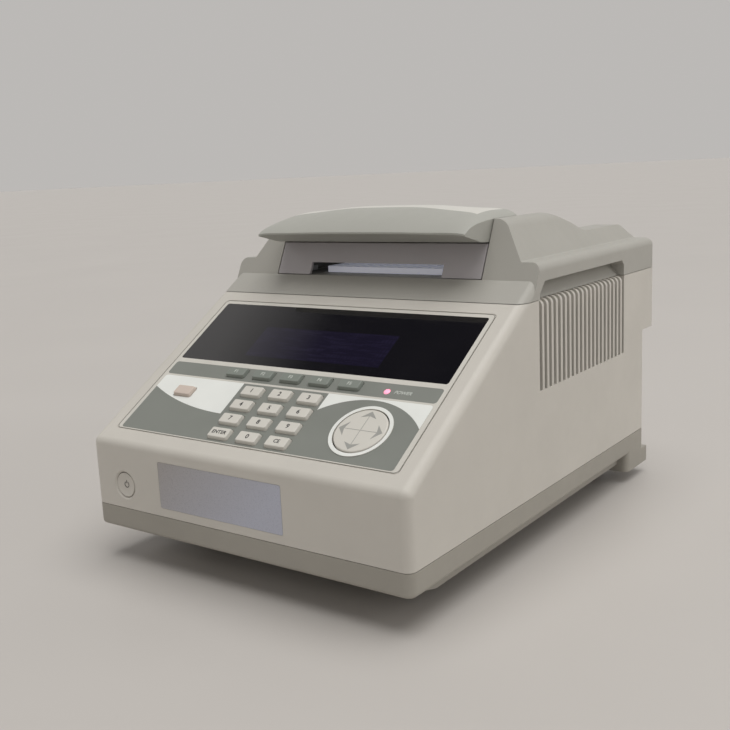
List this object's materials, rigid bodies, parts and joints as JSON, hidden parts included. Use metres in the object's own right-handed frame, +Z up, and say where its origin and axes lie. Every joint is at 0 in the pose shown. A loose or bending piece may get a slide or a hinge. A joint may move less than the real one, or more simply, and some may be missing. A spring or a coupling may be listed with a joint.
{
  "type": "thermal cycler",
  "caption": "Bench thermal cycler: wedge-shaped housing with sloped keypad console, sliding heated lid with lifting lever, sample block, louvres and rear fan.",
  "frame": {"origin": "centre of the footprint, on the surface that it stands on", "axes": "+Z up, the console and lid front face -Y, +X to the viewer's right"},
  "size_m": [0.3, 0.423, 0.2653],
  "materials": {
    "base_grey": "fine moulded texture",
    "foot_rubber": "matt",
    "cover_beige": "fine sprayed texture",
    "deck_grey": "fine moulded texture",
    "steel": "satin",
    "overlay_grey": "satin film",
    "display_glass": "gloss",
    "lcd": "lit",
    "circuit_board": "solder mask",
    "silicone": "matt",
    "key_light": "satin",
    "key_grey": "satin",
    "key_stop": "satin",
    "black_plastic": "matt",
    "led_pink": "lit lens",
    "label_film": "thin film",
    "lid_light_grey": "fine moulded texture",
    "white_acetal": "satin",
    "visor_grey": "fine moulded texture",
    "top_cream": "satin",
    "aluminium": "machined",
    "plate_white": "satin",
    "ceramic": "matt",
    "sheet_metal": "zinc plated",
    "rear_metal": "satin",
    "cable_grey": "matt"
  },
  "bodies": {
    "base": {"base_pan": "base_grey", "rubber_feet": "foot_rubber", "main_cover": "cover_beige", "top_deck": "deck_grey", "guide_rails": "steel", "overlay_panel": "overlay_grey", "display_window": "display_glass", "lcd_module": "lcd", "console_board": "circuit_board", "key_mat": "silicone", "power_led": "led_pink", "power_switch": "black_plastic", "front_label": "label_film", "sample_block": "aluminium", "sample_plate": "plate_white", "drip_seal": "silicone", "block_surround": "black_plastic", "peltier_modules": "ceramic", "heatsink": "aluminium", "air_duct": "sheet_metal", "fan_housing": "black_plastic", "rear_panel": "rear_metal", "fan_guard": "steel", "power_inlet": "black_plastic", "serial_port": "steel", "power_supply": "sheet_metal", "main_board": "circuit_board", "ribbon_cable": "cable_grey", "case_screws": "steel"},
    "fan": {"fan_rotor": "black_plastic"},
    "lid": {"lid_carriage": "deck_grey", "lid_front_panel": "lid_light_grey", "lid_runners": "white_acetal", "lever_pins": "steel", "platen_springs": "steel"},
    "lever": {"lever_handle": "visor_grey", "lever_top_panel": "top_cream"},
    "platen": {"heated_platen": "aluminium", "platen_heater": "silicone"},
    "nav_gimbal": {"nav_pivot": "black_plastic"},
    "nav_disc_body": {"nav_disc": "key_light"},
    "power_button_body": {"power_button": "cover_beige"},
    "key_1_body": {"key_1": "key_light"},
    "key_2_body": {"key_2": "key_light"},
    "key_3_body": {"key_3": "key_light"},
    "key_4_body": {"key_4": "key_light"},
    "key_5_body": {"key_5": "key_light"},
    "key_6_body": {"key_6": "key_light"},
    "key_7_body": {"key_7": "key_light"},
    "key_8_body": {"key_8": "key_light"},
    "key_9_body": {"key_9": "key_light"},
    "key_enter_body": {"key_enter": "key_light"},
    "key_0_body": {"key_0": "key_light"},
    "key_clear_body": {"key_clear": "key_light"},
    "f_key_1_body": {"f_key_1": "key_grey"},
    "f_key_2_body": {"f_key_2": "key_grey"},
    "f_key_3_body": {"f_key_3": "key_grey"},
    "f_key_4_body": {"f_key_4": "key_grey"},
    "f_key_5_body": {"f_key_5": "key_grey"},
    "stop_key_body": {"stop_key": "key_stop"}
  },
  "joints": [
    {"name": "lid_slide", "type": "slide", "parent": "base", "child": "lid", "axis": [0, 1, 0], "range_m": [0, 0.108]},
    {"name": "lever_lift", "type": "hinge", "parent": "lid", "child": "lever", "pos_m": [0, 0.02, 0.248], "axis": [-1, 0, 0], "range_deg": [0, 60]},
    {"name": "platen_lift", "type": "slide", "parent": "lid", "child": "platen", "axis": [0, 0, 1], "range_m": [0, 0.004], "deforming": ["platen_springs"]},
    {"name": "fan_spin", "type": "hinge", "parent": "base", "child": "fan", "pos_m": [0, 0.1758, 0.09], "axis": [0, 1, 0], "continuous": true},
    {"name": "nav_tilt_updown", "type": "hinge", "parent": "base", "child": "nav_gimbal", "pos_m": [0.0869, -0.1692, 0.11669], "axis": [1, 0, 0], "range_deg": [-3, 3], "stiffness_Nm_per_rad": 0.6},
    {"name": "nav_tilt_leftright", "type": "hinge", "parent": "nav_gimbal", "child": "nav_disc_body", "pos_m": [0.0869, -0.1692, 0.11669], "axis": [0, 0.8536, 0.521], "range_deg": [-3, 3], "stiffness_Nm_per_rad": 0.6},
    {"name": "power_press", "type": "slide", "parent": "base", "child": "power_button_body", "axis": [0, 1, 0], "range_m": [0, 0.002], "stiffness_N_per_m": 500, "springref_m": -0.001},
    {"name": "key_1_press", "type": "slide", "parent": "base", "child": "key_1_body", "axis": [0, 0.521, -0.8536], "range_m": [0, 0.0012], "stiffness_N_per_m": 400, "springref_m": -0.001},
    {"name": "key_2_press", "type": "slide", "parent": "base", "child": "key_2_body", "axis": [0, 0.521, -0.8536], "range_m": [0, 0.0012], "stiffness_N_per_m": 400, "springref_m": -0.001},
    {"name": "key_3_press", "type": "slide", "parent": "base", "child": "key_3_body", "axis": [0, 0.521, -0.8536], "range_m": [0, 0.0012], "stiffness_N_per_m": 400, "springref_m": -0.001},
    {"name": "key_4_press", "type": "slide", "parent": "base", "child": "key_4_body", "axis": [0, 0.521, -0.8536], "range_m": [0, 0.0012], "stiffness_N_per_m": 400, "springref_m": -0.001},
    {"name": "key_5_press", "type": "slide", "parent": "base", "child": "key_5_body", "axis": [0, 0.521, -0.8536], "range_m": [0, 0.0012], "stiffness_N_per_m": 400, "springref_m": -0.001},
    {"name": "key_6_press", "type": "slide", "parent": "base", "child": "key_6_body", "axis": [0, 0.521, -0.8536], "range_m": [0, 0.0012], "stiffness_N_per_m": 400, "springref_m": -0.001},
    {"name": "key_7_press", "type": "slide", "parent": "base", "child": "key_7_body", "axis": [0, 0.521, -0.8536], "range_m": [0, 0.0012], "stiffness_N_per_m": 400, "springref_m": -0.001},
    {"name": "key_8_press", "type": "slide", "parent": "base", "child": "key_8_body", "axis": [0, 0.521, -0.8536], "range_m": [0, 0.0012], "stiffness_N_per_m": 400, "springref_m": -0.001},
    {"name": "key_9_press", "type": "slide", "parent": "base", "child": "key_9_body", "axis": [0, 0.521, -0.8536], "range_m": [0, 0.0012], "stiffness_N_per_m": 400, "springref_m": -0.001},
    {"name": "key_enter_press", "type": "slide", "parent": "base", "child": "key_enter_body", "axis": [0, 0.521, -0.8536], "range_m": [0, 0.0012], "stiffness_N_per_m": 400, "springref_m": -0.001},
    {"name": "key_0_press", "type": "slide", "parent": "base", "child": "key_0_body", "axis": [0, 0.521, -0.8536], "range_m": [0, 0.0012], "stiffness_N_per_m": 400, "springref_m": -0.001},
    {"name": "key_clear_press", "type": "slide", "parent": "base", "child": "key_clear_body", "axis": [0, 0.521, -0.8536], "range_m": [0, 0.0012], "stiffness_N_per_m": 400, "springref_m": -0.001},
    {"name": "f_key_1_press", "type": "slide", "parent": "base", "child": "f_key_1_body", "axis": [0, 0.521, -0.8536], "range_m": [0, 0.0012], "stiffness_N_per_m": 400, "springref_m": -0.001},
    {"name": "f_key_2_press", "type": "slide", "parent": "base", "child": "f_key_2_body", "axis": [0, 0.521, -0.8536], "range_m": [0, 0.0012], "stiffness_N_per_m": 400, "springref_m": -0.001},
    {"name": "f_key_3_press", "type": "slide", "parent": "base", "child": "f_key_3_body", "axis": [0, 0.521, -0.8536], "range_m": [0, 0.0012], "stiffness_N_per_m": 400, "springref_m": -0.001},
    {"name": "f_key_4_press", "type": "slide", "parent": "base", "child": "f_key_4_body", "axis": [0, 0.521, -0.8536], "range_m": [0, 0.0012], "stiffness_N_per_m": 400, "springref_m": -0.001},
    {"name": "f_key_5_press", "type": "slide", "parent": "base", "child": "f_key_5_body", "axis": [0, 0.521, -0.8536], "range_m": [0, 0.0012], "stiffness_N_per_m": 400, "springref_m": -0.001},
    {"name": "stop_key_press", "type": "slide", "parent": "base", "child": "stop_key_body", "axis": [0, 0.521, -0.8536], "range_m": [0, 0.0012], "stiffness_N_per_m": 400, "springref_m": -0.001}
  ],
  "couplings": [
    {"joint": "platen_lift", "follows": "lever_lift", "m_per_rad": 0.0038193}
  ]
}
